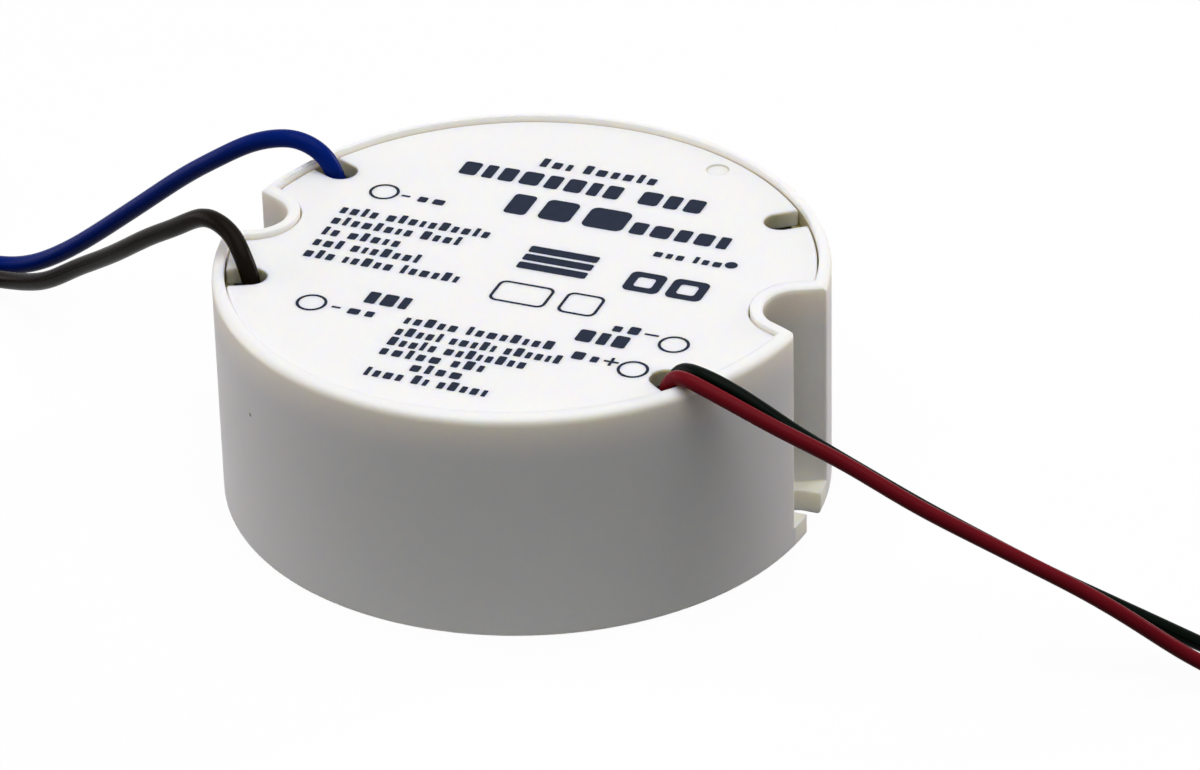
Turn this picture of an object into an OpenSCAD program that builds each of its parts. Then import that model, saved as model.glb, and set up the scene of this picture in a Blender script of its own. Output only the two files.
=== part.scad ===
// Round LED driver: a moulded cup with two fixing notches, a flush lid, a board with its parts,
// and four leads that come out through slots at the lid's edge. Millimetres, +Z up, the origin
// at the middle of the underside, +X towards the notch on the load side.

/* [Housing] */
// Outer diameter of the housing
housing_d = 52; // [50:0.5:60]
// Height of the housing
housing_h = 21; // [20.5:0.5:28]
// Thickness of the side wall below the lid
wall_t = 1.8; // [1.5:0.1:2.1]
// Width of the rim around the lid
rim_w = 1.05; // [0.85:0.05:1.25]
// Thickness of the floor
floor_t = 1.6; // [1.2:0.1:1.9]
// Radius of the rim's outer edge
rim_edge_r = 0.8; // [0.3:0.1:0.8]
// Radius of the lower outer edge
edge_r = 0.4; // [0.2:0.1:0.6]

/* [Fixing notches] */
// Radius of a notch's round end
notch_r = 3.2; // [2.8:0.1:3.6]
// Depth of a notch, in from the outside of the housing
notch_depth = 4.3; // [3.9:0.1:4.7]
// Angle at which the sides of a notch open outwards
notch_flare = 26; // [16:1:32]
// Radius of the upright corners at the mouth of a notch
mouth_r = 0.5; // [0.3:0.1:0.7]
// Chamfer around the top of a notch
notch_chamfer = 0.25; // [0.1:0.05:0.4]
// Thickness of the flange at the foot of a notch
flange_t = 2; // [1.9:0.1:3]
// Width of the screw slot in a flange
screw_slot_w = 3.5; // [3:0.1:4]
// Distance from the outside of the housing to a screw's centre
screw_inset = 1.5; // [1.2:0.1:1.8]

/* [Lid] */
// Thickness of the lid
lid_t = 1.5; // [1.2:0.1:1.8]
// Depth of the lid's face below the rim
lid_recess = 0.45; // [0.2:0.05:0.7]
// Gap between the lid's edge and the rim
lid_gap = 0.15; // [0.1:0.05:0.25]
// Bevel along the lid's upper edge
lid_bevel = 0.15; // [0.1:0.05:0.3]
// Width of a lead slot
lead_slot_w = 2.9; // [2.7:0.1:3.3]
// Length of a lead slot, in from the lid's edge
lead_slot_l = 3.5; // [3.3:0.1:4]
// Angle of the mains lead slots from the notch axis
mains_slot_angle = 25; // [24:1:28]
// Angle of the load lead slots from the notch axis
load_slot_angle = 37; // [36:1:40]
// Diameter of the posts that hold the board down
post_d = 2.4; // [1.8:0.1:2.6]
// Gap between a post and the board
post_gap = 0.1; // [0.05:0.05:0.3]
// Diameter of the ejector mark in the lid's face
dimple_d = 2; // [1.5:0.1:2.4]
// Depth of the ejector mark
dimple_depth = 0.15; // [0.1:0.05:0.3]
// Angle of the ejector mark from the notch axis
dimple_angle = 64; // [56:1:90]
// Distance of the ejector mark's centre from the lid's edge
dimple_inset = 2; // [1.6:0.1:3]

/* [Circuit board] */
// Thickness of the board
board_t = 1.6; // [1.2:0.1:1.6]
// Gap between the board and the housing
board_gap = 0.4; // [0.2:0.1:0.6]
// Room between the housing's floor and the board
board_lift = 2.8; // [2.6:0.1:3.4]
// Width of the ribs that carry the board
rib_w = 1.6; // [1.2:0.1:2]
// How far the ribs reach in from the wall
rib_depth = 1.8; // [1.5:0.1:2]
// Gap around a pin in its hole
hole_gap = 0.15; // [0.1:0.05:0.25]
// Length of pin that stands out below the board
pin_tail = 1; // [0.7:0.1:1.4]
// Radius of a solder joint where it meets the board
solder_r = 0.95; // [0.8:0.05:1.1]

/* [Transformer] */
// Length of the ferrite core along the winding
core_l = 13; // [12.5:0.1:13.5]
// Width of the ferrite core
core_w = 13; // [12.6:0.1:13.4]
// Thickness of the ferrite core
core_t = 6.2; // [5.6:0.1:6.4]
// Width of the core's middle leg
core_mid_leg = 3.6; // [3.2:0.1:3.8]
// Width of the core's outer legs
core_leg = 1.8; // [1.6:0.1:1.9]
// Thickness of the core's two backs
core_back = 2; // [1.8:0.1:2.2]
// Height of the core above the board
core_lift = 2.6; // [2.4:0.1:3]
// Wall of the bobbin's tube
bobbin_wall = 0.6; // [0.5:0.1:0.8]
// Thickness of the bobbin's flanges
bobbin_flange_t = 0.7; // [0.5:0.1:0.9]
// Half the height of the bobbin's flanges
bobbin_reach = 5.2; // [5:0.1:5.4]
// Half the height of the winding
winding_reach = 4.9; // [4.6:0.05:5]

/* [Parts on the board] */
// Diameter of the mains storage capacitor
bulk_d = 10; // [8:0.5:10]
// Room between the mains storage capacitor and the lid
bulk_headroom = 1; // [0.6:0.1:3]
// Diameter of the output capacitor
output_d = 8; // [6.3:0.1:8]
// Room between the output capacitor and the lid
output_headroom = 1.5; // [0.6:0.1:4]
// Length of the film capacitor
film_l = 13; // [12:0.5:13]
// Thickness of the film capacitor
film_t = 5; // [4:0.5:5]
// Room between the film capacitor and the lid
film_headroom = 2; // [0.6:0.1:4]
// Diameter of the varistor disc
varistor_d = 8.5; // [7:0.5:9]
// Thickness of the varistor disc
varistor_t = 4; // [3:0.1:4]
// Diameter of the safety capacitor's disc
safety_d = 8; // [7:0.5:8]
// Thickness of the safety capacitor's disc
safety_t = 4; // [3:0.1:4]
// Diameter of the fusible resistor
resistor_d = 3; // [2.4:0.1:3.2]
// Length of the fusible resistor
resistor_l = 7.5; // [6.5:0.5:8]
// Diameter of the output diode
diode_d = 3; // [2.4:0.1:3.2]
// Length of the output diode
diode_l = 7; // [6:0.5:7.5]
// Diameter of the input choke's flanges
choke_d = 7; // [6:0.1:7]
// Height of the input choke
choke_h = 8; // [6:0.5:10]

/* [Leads] */
// Diameter of the two mains leads
mains_lead_d = 1.6; // [1.4:0.1:1.7]
// Diameter of the two load leads
load_lead_d = 1.25; // [1.1:0.05:1.3]
// Diameter of the tinned end of a mains lead
mains_tip_d = 1.1; // [0.8:0.1:1.2]
// Diameter of the tinned end of a load lead
load_tip_d = 0.8; // [0.6:0.1:0.9]
// Length of a tinned end
tip_l = 6; // [5:0.5:7]

/* [Hidden] */
$fn = 64;

// Slack that keeps cutting faces from lying in one another
eps = 0.01;
// Slack that makes a flat wall cross its round end instead of grazing it
crossing = 0.02;

// Housing
housing_r = housing_d / 2;
cavity_r = housing_r - wall_t;
lid_top = housing_h - lid_recess;
lid_bottom = lid_top - lid_t;
past = 5;
notch_x = housing_r - notch_depth + notch_r;
screw_x = housing_r - screw_inset;
edge_steps = 6;

// Lid
lid_r = housing_r - rim_w - lid_gap;
slot_end_r = lid_r - lead_slot_l + lead_slot_w / 2;
SLOT_ANGLES = [load_slot_angle, -load_slot_angle, 180 - mains_slot_angle, 180 + mains_slot_angle];
POSTS = [[-1.5, 9.3], [4.5, -9], [17.5, 8.5], [-6, -9.3]];

// Board
board_z = floor_t + board_lift;
board_top = board_z + board_t;
board_r = cavity_r - board_gap;
RIB_ANGLES = [60, 100, 140, 220, 260, 300];

// Transformer, its winding along X
transformer_at = [2, 0];
window_l = core_l - 2 * core_back;
window_y = core_w / 2 - core_leg;
core_gap = 0.06;
bobbin_slip = 0.1;
bobbin_l = window_l - 2 * bobbin_slip;
bobbin_y = window_y - 2 * bobbin_slip;
tube_y = core_mid_leg / 2 + bobbin_slip + bobbin_wall;
tube_z = core_t / 2 + bobbin_slip + bobbin_wall;
winding_l = bobbin_l - 2 * bobbin_flange_t - bobbin_slip;
winding_y = bobbin_y - 2 * bobbin_slip;
winding_r = 1.5;
axis_z = board_top + core_lift + core_t / 2;
rail_l = core_l / 2 - bobbin_l / 2 + bobbin_flange_t;
rail_h = core_lift - bobbin_slip;
transformer_pin_x = core_l / 2 - 1.3;
transformer_pin_pitch = 2.5;

// Heights of the parts that stand up to the lid
under_lid = lid_bottom - board_top;
bulk_h = under_lid - bulk_headroom;
output_h = under_lid - output_headroom;
film_h = under_lid - film_headroom;

// Places of the other parts
bulk_at = [-12.5, 0];
output_at = [14.2, 3];
film_at = [-5.5, -14.5];
varistor_at = [-12.5, -9];
resistor_at = [-11, 7.6];
diode_at = [12.5, -7];
choke_at = [1.5, 15.5];
bridge_at = [-7.5, 13.8];
transistor_at = [8, -12.5];
safety_at = [9.5, 13.5];
controller_at = [0.5, 9.5];
chip_resistor_at = [-4, -9];
chip_capacitor_at = [8, 9];

// Pins
pin_r = 0.35;
bulk_pitch = 5;
output_pitch = 3.5;
film_pitch = 10;
disc_pitch = 5;
resistor_pitch = 10;
diode_pitch = 10;
choke_pitch = 4;
bridge_pitch = [5.1, 7.6];
transistor_pitch = 2.3;

// Can of a capacitor: bevelled ends and a crimp groove above the base
can_bevel = 0.5;
groove_z = 1.8;
groove_w = 0.9;
groove_depth = 0.35;
vent_w = 0.3;
vent_depth = 0.2;

// Bodies of the smaller parts
film_bevel = 0.6;
disc_edge = 1.2;
disc_lift = 1;
axial_cap_l = 1.4;
axial_waist = 0.2;
choke_flange_t = 1.1;
choke_stem_d = 3.6;
choke_wire_room = 0.3;
package_slope = 0.25;
bridge_size = [8.3, 6.4, 3.2];
bridge_lift = 0.3;
bridge_leg = [0.6, 0.3];
transistor_size = [6.6, 2.3, 6.1];
transistor_lift = 1.6;
tab_size = [5.2, 0.5, 7.4];
controller_size = [4.9, 3.9, 1.4];
controller_lift = 0.1;
controller_pitch = 1.27;
controller_foot = [0.4, 1, 0.2];
chip_resistor_size = [1.6, 3.2, 0.55];
chip_resistor_pitch = 2.6;
chip_resistor_count = 5;
chip_capacitor_size = [1.25, 2, 0.9];
chip_capacitor_pitch = 2.4;
chip_capacitor_count = 3;
solder_h = 0.9;
solder_tip_r = 0.5;
solder_fit = 0.02;

// Leads: each route runs from its joint on the board, out of its slot and down to the surface
lead_sides = 8;
lead_rest = 0.4;
turn_gap = 0.1;
mains_coil_r = 9.5;
mains_turns = 1.6;
load_coil_r = 7.5;
load_turns = 2;
tie_t = 0.25;
tie_slip = 0.1;
tie_width = 14;
tie_from_tip = 155;
BLUE_ROUTE = [
    [-18.5, 8, board_top], [-18.5, 8, 10], [-19.5, 9, 14], [-20.5, 9.5, 17.5], [-21, 9.5, 20],
    [-22, 9.5, 22], [-24, 9.5, 23], [-26, 9.5, 23], [-29, 9.5, 22], [-32, 9.5, 20], [-36, 10.5, 17],
    [-40, 11, 13.5], [-44, 12, 10], [-48, 13, 6.5], [-52, 14, 3.5], [-55, 14.5, 2], [-58, 15, 1.3],
    [-62, 15, 1.2], [-65, 15, 1.2], [-69, 15, 1.2]
];
BROWN_ROUTE = [
    [-18.5, -8, board_top], [-18.5, -8, 10], [-19.5, -9, 14], [-20.5, -9.5, 17.5], [-20.5, -9.5, 20],
    [-21.5, -9, 22], [-23, -7.5, 23], [-25, -6.5, 23.5], [-27, -5.5, 23], [-30, -4, 20.5],
    [-33.5, -2, 18], [-37, 0, 15], [-40.5, 2.5, 12], [-44.5, 5, 9], [-48, 7, 6], [-51, 9, 4],
    [-54, 11, 2.5], [-57, 12.5, 1.4], [-61, 13, 1.2]
];
RED_ROUTE = [
    [15, -13.5, board_top], [15, -13.5, 10], [16.5, -14, 14], [18, -14.5, 18], [18.5, -14.5, 20.5],
    [19.5, -15, 21.9], [21.5, -16, 22], [25, -16.5, 21], [29, -17, 19.7], [34.5, -16.5, 17.5],
    [40, -16.5, 14.7], [45.5, -15.5, 12], [50, -15, 10], [54, -14.5, 8.2], [58, -14, 6], [62, -13, 3],
    [66, -12.5, 1.2], [69, -12.5, 1], [72, -12.5, 1]
];
BLACK_ROUTE = [
    [17, -11.5, board_top], [17, -11.5, 10], [17.5, -12.5, 14], [18.4, -13.1, 18], [18.4, -13.1, 20.2],
    [19.4, -13.3, 21.5], [21, -14.2, 21.9], [23, -14.8, 21.8], [26, -15, 20.6], [30, -15, 18.3],
    [34.5, -14.5, 15.9], [40, -14, 13], [45, -13, 10.3], [50, -12.5, 8], [54, -11.5, 6], [58, -11, 4.4],
    [62, -10, 2.4], [65, -9.5, 1.1]
];

// Coils: middle of the ring, angle at which the lead comes in, and the way it turns
BLUE_COIL = [[-75, 24.5], -90, -1];
BROWN_COIL = [[-67, 3.5], 90, 1];
RED_COIL = [[77, -20], 90, -1];
BLACK_COIL = [[70, -2], -90, 1];

// Points along an arc, both ends included
function arc(centre, r, from, to, steps) = [
    for (i = [0:steps])
        let (a = from + (to - from) * i / steps)
        [centre.x + r * cos(a), centre.y + r * sin(a)]
];

// Outline of a box with round corners, about its middle
function rounded_box(half_w, half_h, r) = concat(
    arc([half_w - r, half_h - r], r, 0, 90, edge_steps),
    arc([r - half_w, half_h - r], r, 90, 180, edge_steps),
    arc([r - half_w, r - half_h], r, 180, 270, edge_steps),
    arc([half_w - r, r - half_h], r, 270, 360, edge_steps)
);

// Pairs and rows of pins about a part's place
function pair_x(at, pitch) = [at - [pitch / 2, 0], at + [pitch / 2, 0]];
function pair_y(at, pitch) = [at - [0, pitch / 2], at + [0, pitch / 2]];
function row_x(at, pitch, count) = [for (i = [0:count - 1]) at + [pitch * (i - (count - 1) / 2), 0]];
function row_y(at, pitch, count) = [for (i = [0:count - 1]) at + [0, pitch * (i - (count - 1) / 2)]];

TRANSFORMER_PINS = concat(
    row_y(transformer_at - [transformer_pin_x, 0], transformer_pin_pitch, 4),
    row_y(transformer_at + [transformer_pin_x, 0], transformer_pin_pitch, 4)
);
BULK_PINS = pair_y(bulk_at, bulk_pitch);
OUTPUT_PINS = pair_x(output_at, output_pitch);
FILM_PINS = pair_x(film_at, film_pitch);
VARISTOR_PINS = pair_x(varistor_at, disc_pitch);
SAFETY_PINS = pair_x(safety_at, disc_pitch);
RESISTOR_PINS = pair_x(resistor_at, resistor_pitch);
DIODE_PINS = pair_y(diode_at, diode_pitch);
CHOKE_PINS = pair_x(choke_at, choke_pitch);
BRIDGE_PINS = concat(
    pair_x(bridge_at - [0, bridge_pitch.y / 2], bridge_pitch.x),
    pair_x(bridge_at + [0, bridge_pitch.y / 2], bridge_pitch.x)
);
TRANSISTOR_PINS = row_x(transistor_at, transistor_pitch, 3);
PINS = concat(
    TRANSFORMER_PINS, BULK_PINS, OUTPUT_PINS, FILM_PINS, VARISTOR_PINS, SAFETY_PINS,
    RESISTOR_PINS, DIODE_PINS, CHOKE_PINS, BRIDGE_PINS, TRANSISTOR_PINS
);
LEAD_STARTS = [
    for (route = [BLUE_ROUTE, BROWN_ROUTE, RED_ROUTE, BLACK_ROUTE])
        [route[0].x, route[0].y]
];

// One notch as a standing solid, grown by a wall or a gap: a round end and two sides that open outwards
module notch(grow, from, to) {
    side = notch_r + grow - crossing;
    out = [cos(notch_flare), sin(notch_flare)] * (notch_depth + past);
    foot = [-sin(notch_flare), cos(notch_flare)] * side;
    translate([notch_x, 0, from]) {
        cylinder(r = notch_r + grow, h = to - from);
        linear_extrude(to - from)
            polygon([foot, foot + out, [foot.x + out.x, -foot.y - out.y], [foot.x, -foot.y]]);
    }
}

module both_notches(grow, from, to) {
    for (turn = [0, 180])
        rotate(turn)
            notch(grow, from, to);
}

// Cutter that rounds one upright corner at the mouth of a notch
module mouth_corner(from, to) {
    inner = mouth_r - crossing / 2;
    along = [cos(notch_flare), sin(notch_flare)];
    across = [-along.y, along.x];
    start = [notch_x, 0] + across * (notch_r - crossing + inner);
    reach = start * along;
    travel = sqrt(reach * reach - start * start + (housing_r - inner) * (housing_r - inner)) - reach;
    centre = start + along * travel;
    on_side = centre - across * (mouth_r + crossing);
    on_rim = centre * (housing_r + crossing) / norm(centre);
    tip = on_side + along * (mouth_r + past / 4);
    translate([0, 0, from])
        linear_extrude(to - from)
            difference() {
                polygon([centre, on_side, tip, on_rim + (tip - on_side), on_rim]);
                translate(centre)
                    circle(mouth_r);
            }
}

// Cutter that breaks the upper edge of one notch
module notch_edge() {
    prism = notch_chamfer * sqrt(2);
    translate([notch_x, 0, housing_h]) {
        translate([0, 0, -notch_chamfer])
            cylinder(r1 = notch_r, r2 = notch_r + notch_chamfer + eps, h = notch_chamfer + eps);
        for (s = [1, -1])
            rotate(s * notch_flare)
                translate([(notch_depth + past) / 2, s * (notch_r - crossing), 0])
                    rotate([45, 0, 0])
                        cube([notch_depth + past, prism, prism], center = true);
    }
}

module housing() {
    top_of_ribs = board_z;
    color("white")
    difference() {
        rotate_extrude()
            polygon(concat(
                [[0, 0]],
                arc([housing_r - edge_r, edge_r], edge_r, -90, 0, edge_steps),
                arc([housing_r - rim_edge_r, housing_h - rim_edge_r], rim_edge_r, 0, 90, edge_steps),
                [[0, housing_h]]
            ));
        difference() {
            translate([0, 0, floor_t])
                cylinder(r = cavity_r, h = lid_bottom - floor_t + eps);
            both_notches(wall_t, 0, housing_h);
            for (a = RIB_ANGLES)
                rotate(a)
                    translate([cavity_r - rib_depth, -rib_w / 2, 0])
                        cube([rib_depth + wall_t, rib_w, top_of_ribs]);
        }
        difference() {
            translate([0, 0, lid_bottom])
                cylinder(r = housing_r - rim_w, h = housing_h);
            both_notches(rim_w, 0, 2 * housing_h + past);
        }
        both_notches(0, flange_t, housing_h + past);
        for (turn = [0, 180])
            rotate(turn) {
                notch_edge();
                for (side = [0, 1])
                    mirror([0, side, 0])
                        mouth_corner(flange_t, housing_h + past);
                translate([screw_x, 0, -past])
                    cylinder(d = screw_slot_w, h = flange_t + 2 * past);
                translate([screw_x, -screw_slot_w / 2 + crossing / 2, -past])
                    cube([screw_inset + past, screw_slot_w - crossing, flange_t + 2 * past]);
            }
    }
}

// A lead slot in the lid, open at the lid's edge
module lead_slot() {
    translate([slot_end_r, 0, lid_bottom - past / 2]) {
        cylinder(d = lead_slot_w, h = lid_t + past);
        translate([0, -lead_slot_w / 2 + crossing / 2, 0])
            cube([lead_slot_l + past, lead_slot_w - crossing, lid_t + past]);
    }
}

module lid() {
    post_h = lid_bottom - board_top - post_gap;
    color("whitesmoke") {
        difference() {
            rotate_extrude()
                polygon([
                    [0, lid_bottom], [lid_r, lid_bottom], [lid_r, lid_top - lid_bevel],
                    [lid_r - lid_bevel, lid_top], [0, lid_top]
                ]);
            both_notches(rim_w + lid_gap, 0, 2 * housing_h);
            for (a = SLOT_ANGLES)
                rotate(a)
                    lead_slot();
            rotate(dimple_angle)
                translate([lid_r - dimple_inset, 0, lid_top - dimple_depth])
                    cylinder(d = dimple_d, h = past);
        }
        for (p = POSTS)
            translate([p.x, p.y, lid_bottom - post_h])
                cylinder(d = post_d, h = post_h + lid_t / 2);
    }
}

module circuit_board() {
    color("seagreen")
    difference() {
        translate([0, 0, board_z])
            cylinder(r = board_r, h = board_t);
        both_notches(wall_t + board_gap, 0, housing_h);
        for (p = concat(PINS, LEAD_STARTS))
            translate([p.x, p.y, board_z - eps])
                cylinder(r = pin_r + hole_gap, h = board_t + 2 * eps, $fn = 32);
    }
}

// Pins from a height above the board, down through it
module pins(places, up) {
    for (p = places)
        translate([p.x, p.y, board_z - pin_tail])
            cylinder(r = pin_r, h = pin_tail + board_t + up, $fn = 32);
}

// Two E-shaped halves that meet at the middle of the winding
module transformer_core() {
    window_w = window_y - core_mid_leg / 2;
    color("dimgray")
    translate([transformer_at.x, transformer_at.y, axis_z])
    difference() {
        cube([core_l, core_w, core_t], center = true);
        for (s = [1, -1])
            translate([0, s * (core_mid_leg + window_w) / 2, 0])
                cube([window_l, window_w, core_t + past], center = true);
        cube([core_gap, core_w + past, core_t + past], center = true);
    }
}

module transformer_bobbin() {
    color("black") {
        translate([transformer_at.x, transformer_at.y, axis_z])
        difference() {
            union() {
                cube([bobbin_l, 2 * tube_y, 2 * tube_z], center = true);
                for (s = [1, -1])
                    translate([s * (bobbin_l - bobbin_flange_t) / 2, 0, 0])
                        cube([bobbin_flange_t, 2 * bobbin_y, 2 * bobbin_reach], center = true);
            }
            cube(
                [core_l + past, core_mid_leg + 2 * bobbin_slip, core_t + 2 * bobbin_slip],
                center = true
            );
        }
        for (s = [0, 1])
            translate([transformer_at.x, transformer_at.y, board_top])
                mirror([s, 0, 0])
                    translate([bobbin_l / 2 - bobbin_flange_t, -bobbin_y, 0])
                        cube([rail_l, 2 * bobbin_y, rail_h]);
        pins(TRANSFORMER_PINS, rail_h / 2);
    }
}

module transformer_winding() {
    color("gold")
    translate([transformer_at.x - winding_l / 2, transformer_at.y, axis_z])
        rotate([90, 0, 90])
            linear_extrude(winding_l)
                difference() {
                    polygon(rounded_box(winding_y, winding_reach, winding_r));
                    square(2 * [tube_y + bobbin_slip / 2, tube_z + bobbin_slip / 2], center = true);
                }
}

// A standing can with bevelled ends, a crimp groove and a scored vent
module can(at, d, h, places) {
    r = d / 2;
    waist = r - groove_depth;
    translate([at.x, at.y, board_top])
    difference() {
        rotate_extrude()
            polygon([
                [0, 0], [r - can_bevel, 0], [r, can_bevel], [r, groove_z - groove_w / 2], [waist, groove_z],
                [r, groove_z + groove_w / 2], [r, h - can_bevel], [r - can_bevel, h], [0, h]
            ]);
        for (a = [0, 90])
            rotate(a)
                translate([-r / 2, -vent_w / 2, h - vent_depth])
                    cube([r, vent_w, past]);
    }
    pins(places, can_bevel);
}

module bulk_capacitor() {
    color("darkslategray")
        can(bulk_at, bulk_d, bulk_h, BULK_PINS);
}

module output_capacitor() {
    color("midnightblue")
        can(output_at, output_d, output_h, OUTPUT_PINS);
}

// A potted box with bevelled upper edges
module film_capacitor() {
    color("gold") {
        translate([film_at.x - film_l / 2, film_at.y, board_top])
            rotate([90, 0, 90])
                linear_extrude(film_l)
                    polygon([
                        [-film_t / 2, 0], [film_t / 2, 0], [film_t / 2, film_h - film_bevel],
                        [film_t / 2 - film_bevel, film_h], [film_bevel - film_t / 2, film_h],
                        [-film_t / 2, film_h - film_bevel]
                    ]);
        pins(FILM_PINS, film_bevel);
    }
}

// A coated disc that stands on two legs, thinner towards its edge
module disc(at, d, t, places) {
    middle = d / 2 + disc_lift;
    edge = t / 2 - disc_edge;
    translate([at.x, at.y, board_top + middle])
        rotate([90, 0, 0])
            rotate_extrude()
                polygon([
                    [0, -t / 2], [d / 2 - disc_edge, -t / 2], [d / 2, -edge], [d / 2, edge],
                    [d / 2 - disc_edge, t / 2], [0, t / 2]
                ]);
    pins(places, middle);
}

module varistor() {
    color("steelblue")
        disc(varistor_at, varistor_d, varistor_t, VARISTOR_PINS);
}

module safety_capacitor() {
    color("royalblue")
        disc(safety_at, safety_d, safety_t, SAFETY_PINS);
}

// A body lying on the board, its two leads bent down into the board
module axial(at, turn, d, l, pitch, places) {
    r = d / 2;
    translate([at.x, at.y, board_top + r])
        rotate(turn)
            rotate([0, 90, 0]) {
                rotate_extrude()
                    polygon([
                        [0, -l / 2], [r - axial_waist, -l / 2], [r, axial_waist - l / 2],
                        [r, axial_cap_l - l / 2], [r - axial_waist, axial_cap_l + axial_waist - l / 2],
                        [r - axial_waist, l / 2 - axial_cap_l - axial_waist], [r, l / 2 - axial_cap_l],
                        [r, l / 2 - axial_waist], [r - axial_waist, l / 2], [0, l / 2]
                    ]);
                translate([0, 0, -pitch / 2])
                    cylinder(r = pin_r, h = pitch, $fn = 32);
            }
    for (p = places)
        translate([p.x, p.y, board_top + r])
            sphere(r = pin_r, $fn = 32);
    pins(places, r);
}

module fusible_resistor() {
    color("darkseagreen")
        axial(resistor_at, 0, resistor_d, resistor_l, resistor_pitch, RESISTOR_PINS);
}

module output_diode() {
    color("black")
        axial(diode_at, 90, diode_d, diode_l, diode_pitch, DIODE_PINS);
}

module choke_core() {
    color("dimgray") {
        translate([choke_at.x, choke_at.y, board_top])
            rotate_extrude()
                polygon([
                    [0, 0], [choke_d / 2, 0], [choke_d / 2, choke_flange_t],
                    [choke_stem_d / 2, choke_flange_t], [choke_stem_d / 2, choke_h - choke_flange_t],
                    [choke_d / 2, choke_h - choke_flange_t], [choke_d / 2, choke_h], [0, choke_h]
                ]);
        pins(CHOKE_PINS, choke_flange_t / 2);
    }
}

module choke_winding() {
    bare_h = choke_h - 2 * choke_flange_t - 2 * eps;
    color("peru")
    translate([choke_at.x, choke_at.y, board_top + choke_flange_t + eps])
    difference() {
        cylinder(r = choke_d / 2 - choke_wire_room, h = bare_h);
        translate([0, 0, -eps])
            cylinder(r = choke_stem_d / 2 + eps, h = bare_h + 2 * eps);
    }
}

// Section of a moulded package, widest at the plane of its legs
function sloped_section(w, h) = [
    [w / 2, 0], [w / 2 - package_slope, h / 2], [package_slope - w / 2, h / 2],
    [-w / 2, 0], [package_slope - w / 2, -h / 2], [w / 2 - package_slope, -h / 2]
];

// A moulded package whose four sides slope away from the plane of its legs, about its middle
module package(size) {
    intersection() {
        rotate([90, 0, 0])
            linear_extrude(size.y, center = true)
                polygon(sloped_section(size.x, size.z));
        rotate([90, 0, 90])
            linear_extrude(size.x, center = true)
                polygon(sloped_section(size.y, size.z));
    }
}

module bridge_rectifier() {
    color("black") {
        translate([bridge_at.x, bridge_at.y, board_top + bridge_lift + bridge_size.z / 2]) {
            package(bridge_size);
            for (s = [1, -1])
                translate([s * bridge_pitch.x / 2, 0, 0])
                    cube([bridge_leg.x, bridge_pitch.y, bridge_leg.y], center = true);
        }
        pins(BRIDGE_PINS, bridge_lift + bridge_size.z / 2);
    }
}

module power_transistor() {
    foot = board_top + transistor_lift;
    color("black") {
        translate([transistor_at.x, transistor_at.y, foot + transistor_size.z / 2])
            cube(transistor_size, center = true);
        translate([transistor_at.x, transistor_at.y + transistor_size.y / 2, foot + tab_size.z / 2])
            cube(tab_size, center = true);
        pins(TRANSISTOR_PINS, transistor_lift + transistor_size.z / 4);
    }
}

// A flat package under the board, on four feet a side
module controller_chip() {
    rise = controller_lift + controller_size.z / 2;
    foot_y = controller_size.y / 2 + controller_foot.y / 2;
    color("black")
    translate([controller_at.x, controller_at.y, board_z]) {
        translate([0, 0, -rise])
            package(controller_size);
        for (s = [1, -1], p = row_x([0, 0], controller_pitch, 4)) {
            translate([p.x, s * foot_y, -controller_foot.z / 2])
                cube(controller_foot, center = true);
            translate([p.x, s * (controller_size.y / 2), -rise / 2])
                cube([controller_foot.x, 2 * controller_foot.z, rise], center = true);
        }
    }
}

// A row of small flat parts under the board
module chips(at, size, pitch, count) {
    for (i = [0:count - 1])
        translate([at.x + pitch * i, at.y, board_z - size.z / 2])
            cube(size, center = true);
}

module chip_resistors() {
    color("black")
        chips(chip_resistor_at, chip_resistor_size, chip_resistor_pitch, chip_resistor_count);
}

module chip_capacitors() {
    color("burlywood")
        chips(chip_capacitor_at, chip_capacitor_size, chip_capacitor_pitch, chip_capacitor_count);
}

// Cones around the pins below the board, and filled joints where the leads go in
module solder_joints() {
    color("silver") {
        for (p = PINS)
            translate([p.x, p.y, board_z - solder_h])
                difference() {
                    cylinder(r1 = solder_tip_r, r2 = solder_r, h = solder_h, $fn = 32);
                    translate([0, 0, -eps])
                        cylinder(r = pin_r + solder_fit, h = solder_h + 2 * eps, $fn = 32);
                }
        for (p = LEAD_STARTS)
            translate([p.x, p.y, board_z - solder_h]) {
                cylinder(r1 = solder_tip_r, r2 = solder_r, h = solder_h, $fn = 32);
                cylinder(r = pin_r, h = solder_h + board_t, $fn = 32);
            }
    }
}

// A tube swept along a route, with one ring of points at each of the route's own points
module lead(route, d) {
    last = len(route) - 1;
    sides = lead_sides;
    points = [
        for (i = [0:last])
            let (
                step = route[min(i + 1, last)] - route[max(i - 1, 0)],
                ahead = i == 0 ? [0, 0, 1] : step / norm(step),
                level = cross([0, 1, 0], ahead),
                u = level / norm(level),
                v = cross(ahead, u)
            )
            for (j = [0:sides - 1])
                route[i] + d / 2 * (cos(360 * j / sides) * u + sin(360 * j / sides) * v)
    ];
    walls = [
        for (i = [0:last - 1], j = [0:sides - 1])
            let (k = (j + 1) % sides)
            [i * sides + j, (i + 1) * sides + j, (i + 1) * sides + k, i * sides + k]
    ];
    first_end = [for (j = [0:sides - 1]) j];
    far_end = [for (j = [sides - 1:-1:0]) last * sides + j];
    polyhedron(points, concat([first_end], walls, [far_end]));
}

// Inner radius of a flat coil, and where the tinned end lies along it: its bend, its sweep and its start
function coil_inner(r, turns, d) = r - turns * (d + turn_gap) - d / 2 - turn_gap;
function tip_bend(r, turns, d, tip_d) = coil_inner(r, turns, d) - tip_d / 2 - turn_gap;
function tip_sweep(r, turns, d, tip_d) = tip_l / tip_bend(r, turns, d, tip_d) * 180 / PI;
function tip_start(coil, turns) = coil[1] + coil[2] * 360 * turns;

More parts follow.
